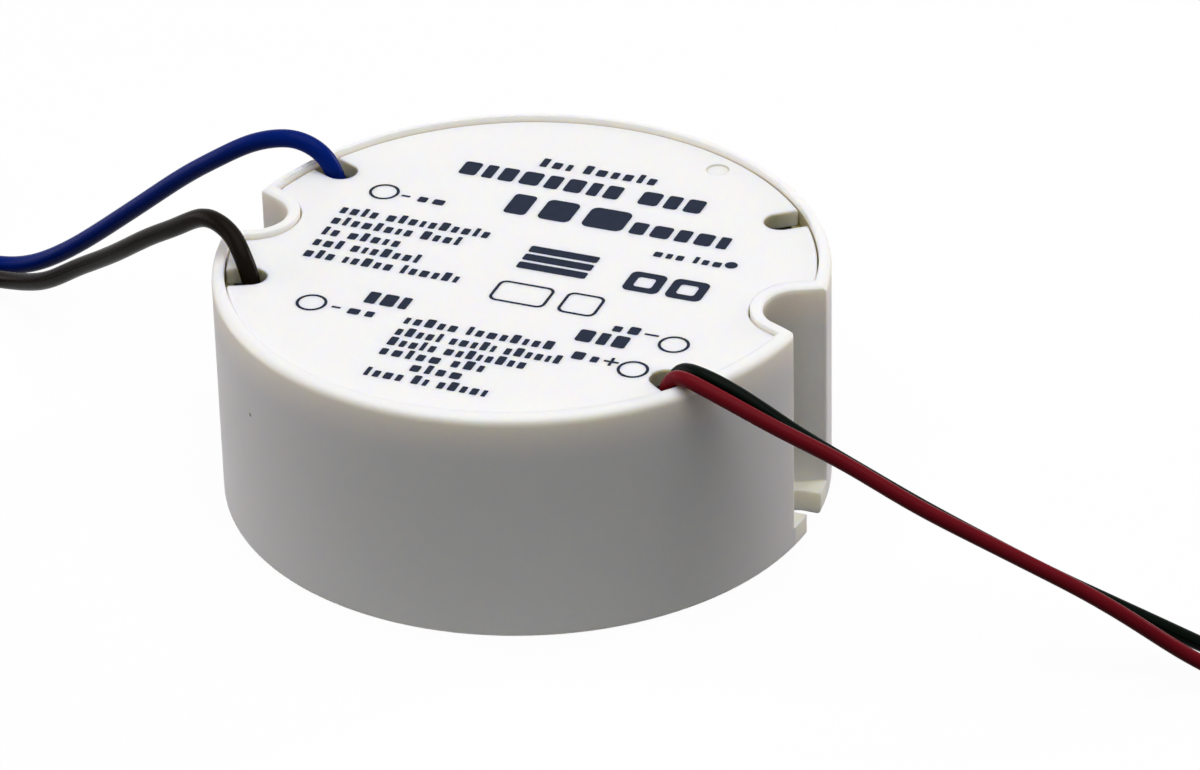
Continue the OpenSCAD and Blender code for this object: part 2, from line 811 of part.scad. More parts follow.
// The ring that a lead's flat turns fill
module lead_coil(coil, r, turns, d) {
    inner = coil_inner(r, turns, d);
    translate([coil[0].x, coil[0].y, 0])
        rotate_extrude()
            translate([inner, lead_rest])
                square([r + d / 2 + turn_gap - inner, d + turn_gap]);
}

// The tinned end of a lead, along the inside of its coil
module lead_tip(coil, r, turns, d, tip_d) {
    sweep = tip_sweep(r, turns, d, tip_d);
    from = tip_start(coil, turns);
    translate([coil[0].x, coil[0].y, lead_rest + d / 2])
        rotate(coil[2] > 0 ? from : from - sweep)
            rotate_extrude(angle = sweep)
                translate([tip_bend(r, turns, d, tip_d), 0])
                    circle(d = tip_d);
}

// A flat band around the turns of a coil, well away from the lead's two ends
module coil_tie(coil, r, turns, d, tip_d) {
    inner = coil_inner(r, turns, d) - tie_slip;
    outer = r + d / 2 + turn_gap + tie_slip;
    height = d + turn_gap + 2 * tie_slip;
    tip_middle = tip_start(coil, turns) + coil[2] * tip_sweep(r, turns, d, tip_d) / 2;
    translate([coil[0].x, coil[0].y, 0])
        rotate(tip_middle + coil[2] * tie_from_tip - tie_width / 2)
            rotate_extrude(angle = tie_width)
                translate([inner - tie_t, lead_rest - tie_slip - tie_t])
                    difference() {
                        square([outer - inner + 2 * tie_t, height + 2 * tie_t]);
                        translate([tie_t, tie_t])
                            square([outer - inner, height]);
                    }
}

module blue_lead() {
    color("mediumblue")
        lead(BLUE_ROUTE, mains_lead_d);
}

module brown_lead() {
    color("saddlebrown")
        lead(BROWN_ROUTE, mains_lead_d);
}

module red_lead() {
    color("firebrick")
        lead(RED_ROUTE, load_lead_d);
}

module black_lead() {
    color("black")
        lead(BLACK_ROUTE, load_lead_d);
}

module blue_lead_coil() {
    color("mediumblue")
        lead_coil(BLUE_COIL, mains_coil_r, mains_turns, mains_lead_d);
}

module brown_lead_coil() {
    color("saddlebrown")
        lead_coil(BROWN_COIL, mains_coil_r, mains_turns, mains_lead_d);
}

module red_lead_coil() {
    color("firebrick")
        lead_coil(RED_COIL, load_coil_r, load_turns, load_lead_d);
}

module black_lead_coil() {
    color("black")
        lead_coil(BLACK_COIL, load_coil_r, load_turns, load_lead_d);
}

module blue_lead_tip() {
    color("silver")
        lead_tip(BLUE_COIL, mains_coil_r, mains_turns, mains_lead_d, mains_tip_d);
}

module brown_lead_tip() {
    color("silver")
        lead_tip(BROWN_COIL, mains_coil_r, mains_turns, mains_lead_d, mains_tip_d);
}

module red_lead_tip() {
    color("silver")
        lead_tip(RED_COIL, load_coil_r, load_turns, load_lead_d, load_tip_d);
}

module black_lead_tip() {
    color("silver")
        lead_tip(BLACK_COIL, load_coil_r, load_turns, load_lead_d, load_tip_d);
}

module blue_coil_tie() {
    color("gainsboro")
        coil_tie(BLUE_COIL, mains_coil_r, mains_turns, mains_lead_d, mains_tip_d);
}

module brown_coil_tie() {
    color("gainsboro")
        coil_tie(BROWN_COIL, mains_coil_r, mains_turns, mains_lead_d, mains_tip_d);
}

module red_coil_tie() {
    color("gainsboro")
        coil_tie(RED_COIL, load_coil_r, load_turns, load_lead_d, load_tip_d);
}

module black_coil_tie() {
    color("gainsboro")
        coil_tie(BLACK_COIL, load_coil_r, load_turns, load_lead_d, load_tip_d);
}

housing();
lid();
circuit_board();
transformer_core();
transformer_bobbin();
transformer_winding();
bulk_capacitor();
output_capacitor();
film_capacitor();
varistor();
safety_capacitor();
fusible_resistor();
output_diode();
choke_core();
choke_winding();
bridge_rectifier();
power_transistor();
controller_chip();
chip_resistors();
chip_capacitors();
solder_joints();
blue_lead();
brown_lead();
red_lead();
black_lead();
blue_lead_coil();
brown_lead_coil();
red_lead_coil();
black_lead_coil();
blue_lead_tip();
brown_lead_tip();
red_lead_tip();
black_lead_tip();
blue_coil_tie();
brown_coil_tie();
red_coil_tie();
black_coil_tie();
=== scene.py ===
"""Looks of a round LED driver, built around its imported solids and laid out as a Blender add-on."""
import math
from typing import NamedTuple

import bmesh
import bpy
from bpy.props import FloatProperty, FloatVectorProperty, IntProperty, PointerProperty
from mathutils import Matrix, Vector


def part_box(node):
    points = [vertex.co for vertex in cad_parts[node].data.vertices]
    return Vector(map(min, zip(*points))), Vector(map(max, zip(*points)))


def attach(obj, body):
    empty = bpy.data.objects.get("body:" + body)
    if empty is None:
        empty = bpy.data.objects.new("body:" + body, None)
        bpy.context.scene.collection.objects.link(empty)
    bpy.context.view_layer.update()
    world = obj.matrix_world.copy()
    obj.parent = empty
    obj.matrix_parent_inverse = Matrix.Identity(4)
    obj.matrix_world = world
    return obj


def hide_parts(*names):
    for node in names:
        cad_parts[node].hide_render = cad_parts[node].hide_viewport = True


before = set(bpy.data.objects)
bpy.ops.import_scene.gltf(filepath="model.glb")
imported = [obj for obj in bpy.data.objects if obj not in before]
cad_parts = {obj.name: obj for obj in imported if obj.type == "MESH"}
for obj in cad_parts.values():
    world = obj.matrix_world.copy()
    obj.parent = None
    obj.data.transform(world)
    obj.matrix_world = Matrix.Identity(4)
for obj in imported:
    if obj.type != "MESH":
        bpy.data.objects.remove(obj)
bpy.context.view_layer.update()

bl_info = {
    "name": "Round LED driver",
    "version": (1, 0, 0),
    "blender": (4, 5, 0),
    "location": "View3D > Sidebar > LED driver",
    "description": "Dresses the solids of a round LED driver with its leads, print and finishes",
    "category": "Object",
}

MM = 0.001
BODY = "root"
LID_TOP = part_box("lid")[1].z
LID_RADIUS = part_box("lid")[1].y
RIM_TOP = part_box("housing")[1].z
# Heights between which shade is painted into the slots and the notches, and how soon that painted shade
# fades
RECESS_LOW = 0.002
RECESS_LOW_FADE = 0.006
RECESS_HIGH = LID_TOP
RECESS_HIGH_FADE = 0.0003
# Shares of open surroundings at which a recess takes all of its painted shade and none of it
RECESS_CLOSED = 0.5
RECESS_OPEN = 0.97
# The housing's inner wall lies within this radius and beyond the notches' sides, and is this deep in shade
CUP_RADIUS = LID_RADIUS + 0.0002
NOTCH_SIDE = 0.007
NOTCH_SIDE_FADE = 0.0002
CUP_SHADE = 0.7
# The flanges lie below this height, and reach this far to either side of the notch's middle
FLANGE_TOP = 0.0021
FLANGE_SIDE = 0.0039
# Share of the fade, up from the wall to the rim, at which the painted glow's warm white is strongest
PAINTED_GLOW_TOP = 0.82
# Shares of the speck's radius at which it begins to fade and is gone
SPECK_CORE = 0.8
SPECK_HAZE = 1.3


class Softbox(NamedTuple):
    """One lamp: its name, its place right, away and up as the camera sees the driver, and its size."""
    name: str
    place: tuple
    size: tuple


OVERHEAD_SOFTBOX = Softbox("overhead_softbox", (0, -0.04, 0.45), (0.5, 0.5))
LEFT_SOFTBOX = Softbox("left_softbox", (-0.47, 0.17, 0.12), (0.35, 0.3))
RIGHT_SOFTBOX = Softbox("right_softbox", (0.44, 0.235, 0.14), (0.05, 0.2))


class Lead(NamedTuple):
    """One lead: its colour, its kind, where it leaves the lid (which is not used), its free route and how
    its coil is wound.
    """
    colour: str
    kind: str
    exit: tuple
    route: tuple
    entry: float
    sense: int


# Each route runs from the board, up through the lead's slot and down to the start of its coil, in metres
BLUE_ROUTE = (
    (-0.0185, 0.008, 0.006), (-0.0185, 0.008, 0.010), (-0.0195, 0.009, 0.014), (-0.0205, 0.0095, 0.0175),
    (-0.021, 0.0095, 0.020), (-0.022, 0.0095, 0.022), (-0.024, 0.0095, 0.023), (-0.026, 0.0095, 0.023),
    (-0.029, 0.0095, 0.022), (-0.032, 0.0095, 0.020), (-0.036, 0.0105, 0.017), (-0.040, 0.011, 0.0135),
    (-0.044, 0.012, 0.010), (-0.048, 0.013, 0.0065), (-0.052, 0.014, 0.0035), (-0.055, 0.0145, 0.002),
    (-0.058, 0.015, 0.0013), (-0.062, 0.015, 0.0012), (-0.065, 0.015, 0.0012), (-0.069, 0.015, 0.0012),
)
BROWN_ROUTE = (
    (-0.0185, -0.008, 0.006), (-0.0185, -0.008, 0.010), (-0.0195, -0.009, 0.014), (-0.0205, -0.0095, 0.0175),
    (-0.0205, -0.0095, 0.020), (-0.0215, -0.009, 0.022), (-0.023, -0.0075, 0.023), (-0.025, -0.0065, 0.0235),
    (-0.027, -0.0055, 0.023), (-0.030, -0.004, 0.0205), (-0.0335, -0.002, 0.018), (-0.037, 0.0, 0.015),
    (-0.0405, 0.0025, 0.012), (-0.0445, 0.005, 0.009), (-0.048, 0.007, 0.006), (-0.051, 0.009, 0.004),
    (-0.054, 0.011, 0.0025), (-0.057, 0.0125, 0.0014), (-0.061, 0.013, 0.0012),
)
RED_ROUTE = (
    (0.015, -0.0135, 0.006), (0.015, -0.0135, 0.010), (0.0165, -0.014, 0.014), (0.018, -0.0145, 0.018),
    (0.0185, -0.0145, 0.0205), (0.0195, -0.015, 0.0219), (0.0215, -0.016, 0.022), (0.025, -0.0165, 0.021),
    (0.029, -0.017, 0.0197), (0.0345, -0.0165, 0.0175), (0.040, -0.0165, 0.0147), (0.0455, -0.0155, 0.012),
    (0.050, -0.015, 0.010), (0.054, -0.0145, 0.0082), (0.058, -0.014, 0.006), (0.062, -0.013, 0.003),
    (0.066, -0.0125, 0.0012), (0.069, -0.0125, 0.001), (0.072, -0.0125, 0.001),
)
BLACK_ROUTE = (
    (0.017, -0.0115, 0.006), (0.017, -0.0115, 0.010), (0.0175, -0.0125, 0.014), (0.0184, -0.0131, 0.018),
    (0.0184, -0.0131, 0.0202), (0.0194, -0.0133, 0.0215), (0.021, -0.0142, 0.0219), (0.023, -0.0148, 0.0218),
    (0.026, -0.015, 0.0206), (0.030, -0.015, 0.0183), (0.0345, -0.0145, 0.0159), (0.040, -0.014, 0.013),
    (0.045, -0.013, 0.0103), (0.050, -0.0125, 0.008), (0.054, -0.0115, 0.006), (0.058, -0.011, 0.0044),
    (0.062, -0.010, 0.0024), (0.065, -0.0095, 0.0011),
)
LEADS = (
    Lead("blue", "mains", (-0.021, 0.0095, LID_TOP), BLUE_ROUTE, -90, -1),
    Lead("brown", "mains", (-0.0205, -0.0095, LID_TOP), BROWN_ROUTE, 90, 1),
    Lead("red", "load", (0.0185, -0.0145, LID_TOP), RED_ROUTE, 90, -1),
    Lead("black", "load", (0.0184, -0.0131, LID_TOP), BLACK_ROUTE, -90, 1),
)


def linear(hex_colour):
    """The linear RGBA of an sRGB hex colour such as #f4f4f2."""
    parts = [int(hex_colour[i:i + 2], 16) / 255 for i in (1, 3, 5)]
    return (*[c / 12.92 if c <= 0.04045 else ((c + 0.055) / 1.055) ** 2.4 for c in parts], 1.0)


def colour_property(name, description, hex_colour):
    """A colour that a user may change, given by its sRGB hex value."""
    return FloatVectorProperty(
        name=name, description=description, default=linear(hex_colour), size=4, min=0, max=1,
        subtype="COLOR",
    )


def length_property(name, description, default):
    """A length in metres that a user may change."""
    return FloatProperty(
        name=name, description=description, default=default, min=0, unit="LENGTH", precision=5
    )


def power_property(name, description, default):
    """A lamp's power in watts that a user may change."""
    return FloatProperty(name=name, description=description, default=default, min=0, unit="POWER")


class StageSettings(bpy.types.PropertyGroup):
    """The camera, the floor and the lamps."""
    azimuth: FloatProperty(
        name="Azimuth", description="Turn of the camera about the driver", default=math.radians(21.91),
        subtype="ANGLE",
    )
    pitch: FloatProperty(
        name="Pitch", description="How far the camera looks down", default=math.radians(30.96),
        subtype="ANGLE",
    )
    roll: FloatProperty(
        name="Roll", description="Tilt of the camera about its own axis", default=math.radians(-1.37),
        subtype="ANGLE",
    )
    target: FloatVectorProperty(
        name="Target", description="Point at the middle of the picture", default=(0.00588, 0.00237, 0.00837),
        subtype="TRANSLATION", unit="LENGTH",
    )
    distance: length_property("Distance", "From the camera to its target", 0.5075)
    lens: FloatProperty(name="Lens", description="Focal length on a 36 mm wide sensor", default=179.25)
    floor_size: length_property("Floor size", "Side of the square floor", 6.0)
    near_bounce: colour_property("Near bounce", "Light from the floor before the driver", "#909090")
    far_bounce: colour_property("Far bounce", "Light from the rest of the floor", "#4c4c4c")
    bounce_place: FloatVectorProperty(
        name="Bounce place", description="Middle of the bright patch of floor, as the camera sees it",
        default=(-0.008, -0.036, 0), subtype="TRANSLATION", unit="LENGTH",
    )
    bounce_core: length_property("Bounce core", "Radius within which the patch is at its brightest", 0.01)
    bounce_reach: length_property("Bounce reach", "Radius at which the bright patch ends", 0.04)
    shadow_share: FloatProperty(
        name="Shadow share", description="How much of the floor's white is lit by the lamps", default=0.05,
        min=0, max=1, subtype="FACTOR",
    )
    ambient: FloatProperty(
        name="Ambient", description="Strength of the room's even light", default=0.03, min=0
    )
    key_power: power_property("Key", "Overhead softbox", 2.2)
    left_power: power_property("Left", "Softbox at the left rear", 0.82)
    right_power: power_property("Right", "Softbox at the right rear", 1.0)
    side_tint: colour_property("Side tint", "Colour of the two softboxes at the rear", "#fff5f7")


class LeadSettings(bpy.types.PropertyGroup):
    """The four leads, their coils and their stripped ends."""
    mains_diameter: length_property("Mains lead", "Diameter of the blue and brown leads", 0.0016)
    load_diameter: length_property("Load lead", "Diameter of the red and black leads", 0.00125)
    mains_turns: FloatProperty(name="Mains turns", description="Turns in each mains coil", default=1.6)
    load_turns: FloatProperty(name="Load turns", description="Turns in each load coil", default=2.0)
    turn_gap: length_property("Turn gap", "Space between the turns of a coil", 0.0001)
    mains_tip: length_property("Mains strand", "Diameter of a stripped mains end", 0.0011)
    load_tip: length_property("Load strand", "Diameter of a stripped load end", 0.0008)
    tip_length: length_property("Stripped length", "Bare wire at the end of a lead", 0.006)
    strands: IntProperty(name="Strands", description="Strands that show round a stripped end", default=6)
    blue: colour_property("Blue", "Insulation of the neutral lead", "#021c68")
    brown: colour_property("Brown", "Insulation of the live lead", "#140f0a")
    red: colour_property("Red", "Insulation of the positive lead", "#68101a")
    black: colour_property("Black", "Insulation of the negative lead", "#040c07")


class CaseSettings(bpy.types.PropertyGroup):
    """The moulded housing and its lid."""
    lid_colour: colour_property("Lid", "White of the lid", "#fafaf9")
    rim_colour: colour_property("Rim", "White of the housing's rim", "#f9f9f7")
    # Painted glow: the housing's colour runs from the wall's white up through a lighter, warmer band to the
    # rim's, for light that leaks through the plastic
    painted_glow_colour: colour_property("Band", "Warm white below the rim, where light leaks through", "#fdf3ea")
    wall_colour: colour_property("Wall", "White of the housing's wall", "#e7e7e6")
    # Painted glow: the thin flanges are lighter and warmer than the wall, for light that passes through them
    painted_flange_glow: colour_property("Flange", "Warm white of the thin flanges", "#fff8e8")
    painted_glow_reach: length_property("Band reach", "How far the warm white fades down the wall", 0.0045)
    glow_depth: length_property("Glow depth", "How far light travels inside the plastic", 0.0009)
    # Painted shade: the dark olive laid into the colour of the slots and the notches
    painted_recess_shade: colour_property("Recess", "Tint of light out of the slots and notches", "#918c1c")
    recess_reach: length_property("Recess reach", "How far a recess is felt on its walls", 0.005)
    edge_radius: length_property("Edge radius", "Softness of every moulded edge", 0.0002)
    shoulder_depth: length_property("Shoulder depth", "How far the wall leans in near the rim", 0.0002)
    shoulder_fade: length_property("Shoulder fade", "How soon the lean fades down the wall", 0.0015)
    speck: FloatVectorProperty(
        name="Speck", description="A dark inclusion in the wall", default=(-0.0162, -0.02035, 0.0140),
        subtype="TRANSLATION", unit="LENGTH",
    )
    speck_radius: length_property("Speck radius", "Half the width of the inclusion", 0.00015)
    speck_colour: colour_property("Speck colour", "Burnt brown-grey of the inclusion", "#5c564e")


class PrintSettings(bpy.types.PropertyGroup):
    """The pad print on the lid."""
    ink: colour_property("Ink", "Dark blue-grey printing ink", "#141c2d")
    ink_height: length_property("Ink height", "How far the ink stands above the lid", 0.000012)
    ring_radius: length_property("Ring radius", "Middle of the ring beside each lead slot", 0.0012)
    line_width: length_property("Line width", "Width of a printed line", 0.00026)


def add(tree, kind, sockets=None, **settings):
    """Adds one node, gives it its settings, and fills or links its inputs."""
    node = tree.nodes.new(kind)
    for name, value in settings.items():
        setattr(node, name, value)
    for socket, value in (sockets or {}).items():
        if isinstance(value, bpy.types.NodeSocket):
            tree.links.new(value, node.inputs[socket])
        else:
            node.inputs[socket].default_value = value
    return node


def per_metre(size_mm):
    """The pattern scale, in repeats a metre, of a feature of this real size."""
    return 1000 / size_mm


def begin_surface(name, even_values):
    """Starts a material on one principled shader, whose even values sit on its own sockets."""
    material = bpy.data.materials.new(name)
    material.use_nodes = True
    tree = material.node_tree
    tree.nodes.clear()
    shader = add(tree, "ShaderNodeBsdfPrincipled", even_values)
    add(tree, "ShaderNodeOutputMaterial", {"Surface": shader.outputs["BSDF"]})
    place = add(tree, "ShaderNodeTexCoord").outputs["Object"]
    return material, tree, shader, place


def vary_surface(
    tree, shader, place, colours, patch_mm, gloss, gloss_mm, grain_mm, grain_depth_mm, soft=None
):
    """Clouds of two close colours, patches of two close roughnesses and a grain that stands in relief."""
    cloud = add(tree, "ShaderNodeTexNoise", {"Vector": place, "Scale": per_metre(patch_mm), "Detail": 3.0})
    tint = add(
        tree, "ShaderNodeMix", {0: cloud.outputs["Fac"], 6: colours[0], 7: colours[1]}, data_type="RGBA"
    )
    tree.links.new(tint.outputs[2], shader.inputs["Base Color"])
    patch = add(tree, "ShaderNodeTexNoise", {"Vector": place, "Scale": per_metre(gloss_mm), "Detail": 2.0})
    rough = add(
        tree, "ShaderNodeMapRange", {"Value": patch.outputs["Fac"], "To Min": gloss[0], "To Max": gloss[1]}
    )
    tree.links.new(rough.outputs["Result"], shader.inputs["Roughness"])
    grain = add(tree, "ShaderNodeTexNoise", {"Vector": place, "Scale": per_metre(grain_mm), "Detail": 2.0})
    relief = {"Height": grain.outputs["Fac"], "Distance": grain_depth_mm * MM}
    if soft is not None:
        relief["Normal"] = soft
    bump = add(tree, "ShaderNodeBump", relief)
    tree.links.new(bump.outputs["Normal"], shader.inputs["Normal"])
    return tint


def shade(colour, factor):
    """A colour made lighter or darker by a factor."""
    return (*[min(1.0, c * factor) for c in colour[:3]], 1.0)


def height_ramp(tree, place, stops):
    """Colours that change softly with the height above the base, from pairs of a height and a colour."""
    apart = add(tree, "ShaderNodeSeparateXYZ", {0: place})
    share = add(tree, "ShaderNodeMapRange", {"Value": apart.outputs["Z"], "From Max": RIM_TOP})
    ramp = add(tree, "ShaderNodeValToRGB", {"Fac": share.outputs["Result"]})
    ramp.color_ramp.interpolation = "EASE"
    elements = ramp.color_ramp.elements
    for element, (height, colour) in zip(elements, (stops[0], stops[-1])):
        element.position = height / RIM_TOP
        element.color = colour
    for height, colour in stops[1:-1]:
        elements.new(height / RIM_TOP).color = colour
    return ramp.outputs["Color"]


def soft_shoulder(tree, place, normal, case):
    """The wall's lean towards the rim, steepest at the rim, where the mould is rounded over."""
    apart = add(tree, "ShaderNodeSeparateXYZ", {0: place})
    rise = add(tree, "ShaderNodeMapRange", {
        "Value": apart.outputs["Z"], "From Min": RIM_TOP - case.shoulder_fade, "From Max": RIM_TOP,
    }, clamp=False)
    lean = add(tree, "ShaderNodeMath", {0: math.e, 1: rise.outputs["Result"]}, operation="POWER")
    relief = {"Height": lean.outputs[0], "Distance": case.shoulder_depth, "Normal": normal}
    return add(tree, "ShaderNodeBump", relief, invert=True).outputs["Normal"]


def inside_cup(tree, place):
    """How deep in shade the housing's inner wall is, which shows only through the lead slots."""
    along = add(tree, "ShaderNodeVectorMath", {0: place, 1: (1, 1, 0)}, operation="MULTIPLY")
    radius = add(tree, "ShaderNodeVectorMath", {0: along.outputs["Vector"]}, operation="LENGTH")
    reach = {0: radius.outputs["Value"], 1: CUP_RADIUS}
    within = add(tree, "ShaderNodeMath", reach, operation="LESS_THAN")
    apart = add(tree, "ShaderNodeSeparateXYZ", {0: place})
    side = add(tree, "ShaderNodeMath", {0: apart.outputs["Y"]}, operation="ABSOLUTE")
    clear = add(tree, "ShaderNodeMapRange", {
        "Value": side.outputs[0], "From Min": NOTCH_SIDE, "From Max": NOTCH_SIDE + NOTCH_SIDE_FADE,
        "To Max": CUP_SHADE,
    })
    both = {0: within.outputs[0], 1: clear.outputs["Result"]}
    return add(tree, "ShaderNodeMath", both, operation="MULTIPLY").outputs[0]


def moulded_polycarbonate(name, colour, case, cup=False):
    """White polycarbonate from a fine-eroded mould: satin, a little translucent, so lit edges glow."""
    material, tree, shader, place = begin_surface(name, {
        "IOR": 1.585,
        "Subsurface Weight": 1.0,
        "Subsurface Radius": (1.0, 0.86, 0.5),
        "Subsurface Scale": case.glow_depth,
    })
    soft = add(tree, "ShaderNodeBevel", {"Radius": case.edge_radius}, samples=4).outputs["Normal"]
    if cup:
        soft = soft_shoulder(tree, place, soft, case)
    # The real grain of such a mould is finer, and is drawn this coarse so that it shows
    tint = vary_surface(
        tree, shader, place, colours=(colour, shade(colour, factor=0.965)), patch_mm=7,
        gloss=(0.36, 0.48), gloss_mm=2.5, grain_mm=0.3, grain_depth_mm=0.004, soft=soft,
    )
    # Painted shade: the colour turns dark olive deep in the slots and the notches and on the inner wall seen
    # through the slots, for the shade there and for light that has wandered through the plastic, which takes
    # the blue out of it
    openness = add(
        tree, "ShaderNodeAmbientOcclusion", {"Distance": case.recess_reach}, only_local=True, samples=8
    )
    closeness = add(tree, "ShaderNodeMapRange", {
        "Value": openness.outputs["AO"], "From Min": RECESS_CLOSED, "From Max": RECESS_OPEN,
        "To Min": 1.0, "To Max": 0.0,
    })
    depth = closeness.outputs["Result"]
    if cup:
        either = {0: depth, 1: inside_cup(tree, place)}
        depth = add(tree, "ShaderNodeMath", either, operation="MAXIMUM").outputs[0]
    white = linear("#ffffff")
    black = linear("#000000")
    within = height_ramp(tree, place, (
        (RECESS_LOW, black), (RECESS_LOW + RECESS_LOW_FADE, white),
        (RECESS_HIGH - RECESS_HIGH_FADE, white), (RECESS_HIGH, black),
    ))
    share = add(tree, "ShaderNodeMath", {0: depth, 1: within}, operation="MULTIPLY")
    tinted = add(tree, "ShaderNodeMix", {
        0: share.outputs[0], 6: tint.outputs[2], 7: tuple(case.painted_recess_shade),
    }, data_type="RGBA")
    tree.links.new(tinted.outputs[2], shader.inputs["Base Color"])
    return material, tree, shader, place, tinted.outputs[2]


def thin_flange(tree, place):
    """1 on the flanges at the foot of the notches, which are thin enough to let light through and take a
    painted glow for it.
    """
    apart = add(tree, "ShaderNodeSeparateXYZ", {0: place})
    side = add(tree, "ShaderNodeMath", {0: apart.outputs["Y"]}, operation="ABSOLUTE")
    near = add(tree, "ShaderNodeMath", {0: side.outputs[0], 1: FLANGE_SIDE}, operation="LESS_THAN")
    low = add(tree, "ShaderNodeMath", {0: apart.outputs["Z"], 1: FLANGE_TOP}, operation="LESS_THAN")
    both = {0: near.outputs[0], 1: low.outputs[0]}
    return add(tree, "ShaderNodeMath", both, operation="MULTIPLY").outputs[0]


def moulded_wall(case):
    """The same plastic on the housing, with a painted glow that makes it whiter and warmer towards the rim,
    and with one burnt grain in it.
    """
    material, tree, shader, place, tint = moulded_polycarbonate(
        "moulded_polycarbonate_housing", linear("#ffffff"), case, cup=True
    )
    # Painted glow: lighter and warmer up the wall towards the rim, for light that leaks through from the lid
    fade = height_ramp(tree, place, (
        (RIM_TOP - case.painted_glow_reach, case.wall_colour),
        (RIM_TOP - (1 - PAINTED_GLOW_TOP) * case.painted_glow_reach, case.painted_glow_colour),
        (RIM_TOP, case.rim_colour),
    ))
    # Painted glow on the thin flanges, in place of the wall's colour
    whites = add(tree, "ShaderNodeMix", {
        0: thin_flange(tree, place), 6: fade, 7: tuple(case.painted_flange_glow),
    }, data_type="RGBA")
    tinted = add(tree, "ShaderNodeMix", {
        0: 1.0, 6: tint, 7: whites.outputs[2],
    }, data_type="RGBA", blend_type="MULTIPLY")
    away = add(tree, "ShaderNodeVectorMath", {0: place, 1: tuple(case.speck)}, operation="DISTANCE")
    inside = add(tree, "ShaderNodeMapRange", {
        "Value": away.outputs["Value"], "From Min": SPECK_CORE * case.speck_radius,
        "From Max": SPECK_HAZE * case.speck_radius, "To Min": 1.0, "To Max": 0.0,
    })
    marked = add(tree, "ShaderNodeMix", {
        0: inside.outputs["Result"], 6: tinted.outputs[2], 7: tuple(case.speck_colour),
    }, data_type="RGBA")
    tree.links.new(marked.outputs[2], shader.inputs["Base Color"])
    return material


def printing_ink(colour):
    """Pad-printed two-part ink: flat and dense, with a faint mottle where the pad lifted off."""
    material, tree, shader, place = begin_surface("pad_printing_ink", {
        "IOR": 1.5,
        "Specular IOR Level": 0.1,
    })
    vary_surface(
        tree, shader, place, colours=(colour, shade(colour, factor=1.5)), patch_mm=0.5,
        gloss=(0.5, 0.65), gloss_mm=0.8, grain_mm=0.12, grain_depth_mm=0.002,
    )
    return material


def extruded_pvc(name, colour):
    """Soft PVC drawn through a die over the strands: dark, with a waxy glint and a faint ripple."""
    # The solid's IOR is 1.53, and the lower one here stands for the dull bloom on its skin
    material, tree, shader, place = begin_surface(name, {"IOR": 1.1})
    vary_surface(
        tree, shader, place, colours=(colour, shade(colour, factor=1.25)), patch_mm=3,
        gloss=(0.18, 0.34), gloss_mm=1.1, grain_mm=0.6, grain_depth_mm=0.012,
    )
    return material


def tinned_copper():
    """Copper strands dipped in tin: a bright grey metal with dull, frosted patches."""
    material, tree, shader, place = begin_surface("tinned_copper_strand", {"Metallic": 1.0})
    vary_surface(
        tree, shader, place, colours=(linear("#a3a19b"), linear("#85837c")), patch_mm=0.6,
        gloss=(0.22, 0.42), gloss_mm=0.4, grain_mm=0.1, grain_depth_mm=0.004,
    )
    return material


def natural_nylon():
    """Uncoloured nylon: milky, waxy and slightly see-through, as cable ties are."""
    material, tree, shader, place = begin_surface("natural_nylon", {
        "IOR": 1.53,
        "Subsurface Weight": 0.6,
        "Subsurface Radius": (1.0, 0.95, 0.8),
        "Subsurface Scale": 0.6 * MM,
    })
    vary_surface(
        tree, shader, place, colours=(linear("#e9e7de"), linear("#dedbd0")), patch_mm=1.5,
        gloss=(0.35, 0.5), gloss_mm=0.6, grain_mm=0.15, grain_depth_mm=0.004,
    )
    return material


def solder_mask_board():
    """Glass-epoxy board under green solder mask: glossy and mottled, with a faint weave."""
    material, tree, shader, place = begin_surface("green_solder_mask", {"IOR": 1.55})
    vary_surface(
        tree, shader, place, colours=(linear("#1f6a3c"), linear("#17552f")), patch_mm=2,
        gloss=(0.25, 0.35), gloss_mm=1, grain_mm=0.4, grain_depth_mm=0.01,
    )
    return material


def plain_finish(name, dark, light, ior=1.5, metallic=0.0, patch_mm=1.5, gloss=(0.35, 0.5), grain_mm=0.2,
                 grain_depth_mm=0.006):
    """A finish of two close colours, from its mottle, its gloss and its grain."""
    material, tree, shader, place = begin_surface(name, {"IOR": ior, "Metallic": metallic})
    vary_surface(
        tree, shader, place, colours=(linear(dark), linear(light)), patch_mm=patch_mm, gloss=gloss,
        gloss_mm=patch_mm, grain_mm=grain_mm, grain_depth_mm=grain_depth_mm,
    )
    return material


def dress(node, material):
    """Gives a CAD node its finish."""
    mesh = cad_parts[node].data
    mesh.materials.clear()
    mesh.materials.append(material)


def add_piece(name, data, material):
    """Puts a new piece of the driver in the scene, in the frame's own place."""
    data.materials.append(material)
    piece = bpy.data.objects.new(name, data)
    bpy.context.scene.collection.objects.link(piece)
    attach(piece, BODY)
    return piece


def mesh_from(name, shape, smooth=False):
    """A mesh from a bmesh, with its normals turned outwards."""
    bmesh.ops.recalc_face_normals(shape, faces=shape.faces)
    mesh = bpy.data.meshes.new(name)
    shape.to_mesh(mesh)
    shape.free()
    for face in mesh.polygons:
        face.use_smooth = smooth
    return mesh


